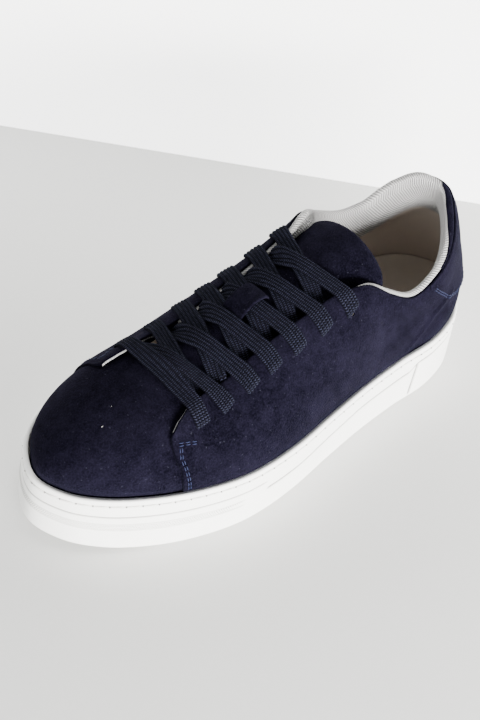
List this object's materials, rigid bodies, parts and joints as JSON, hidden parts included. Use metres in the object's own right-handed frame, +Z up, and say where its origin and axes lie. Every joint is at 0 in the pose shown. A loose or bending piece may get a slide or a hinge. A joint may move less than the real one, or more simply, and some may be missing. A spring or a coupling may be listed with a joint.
{
  "type": "suede low-top sneaker",
  "caption": "Low-cut lace-up shoe: hollow suede upper with tongue and criss-cross flat lace, on a thick white rubber cup sole.",
  "frame": {"origin": "middle of the bounding box's floor rectangle, on the floor plane under the sole", "axes": "-Y towards the toe, +X towards the shoe's own left (its outer side), +Z up"},
  "size_m": [0.0957, 0.262, 0.1019],
  "materials": {
    "sole_rubber": "matte off-white",
    "suede": "navy suede nap",
    "lining_textile": "light grey ribbed textile",
    "lace_braid": "flat navy braid"
  },
  "bodies": {
    "root": {"sole": "sole_rubber", "insole": "lining_textile", "upper": "suede", "tongue": "suede", "lace_keeper": "suede", "lace_bar": "lace_braid", "lace_crossing_1": "lace_braid", "lace_crossing_2": "lace_braid", "lace_crossing_3": "lace_braid", "lace_crossing_4": "lace_braid", "lace_crossing_5": "lace_braid", "lace_crossing_6": "lace_braid"}
  },
  "joints": []
}
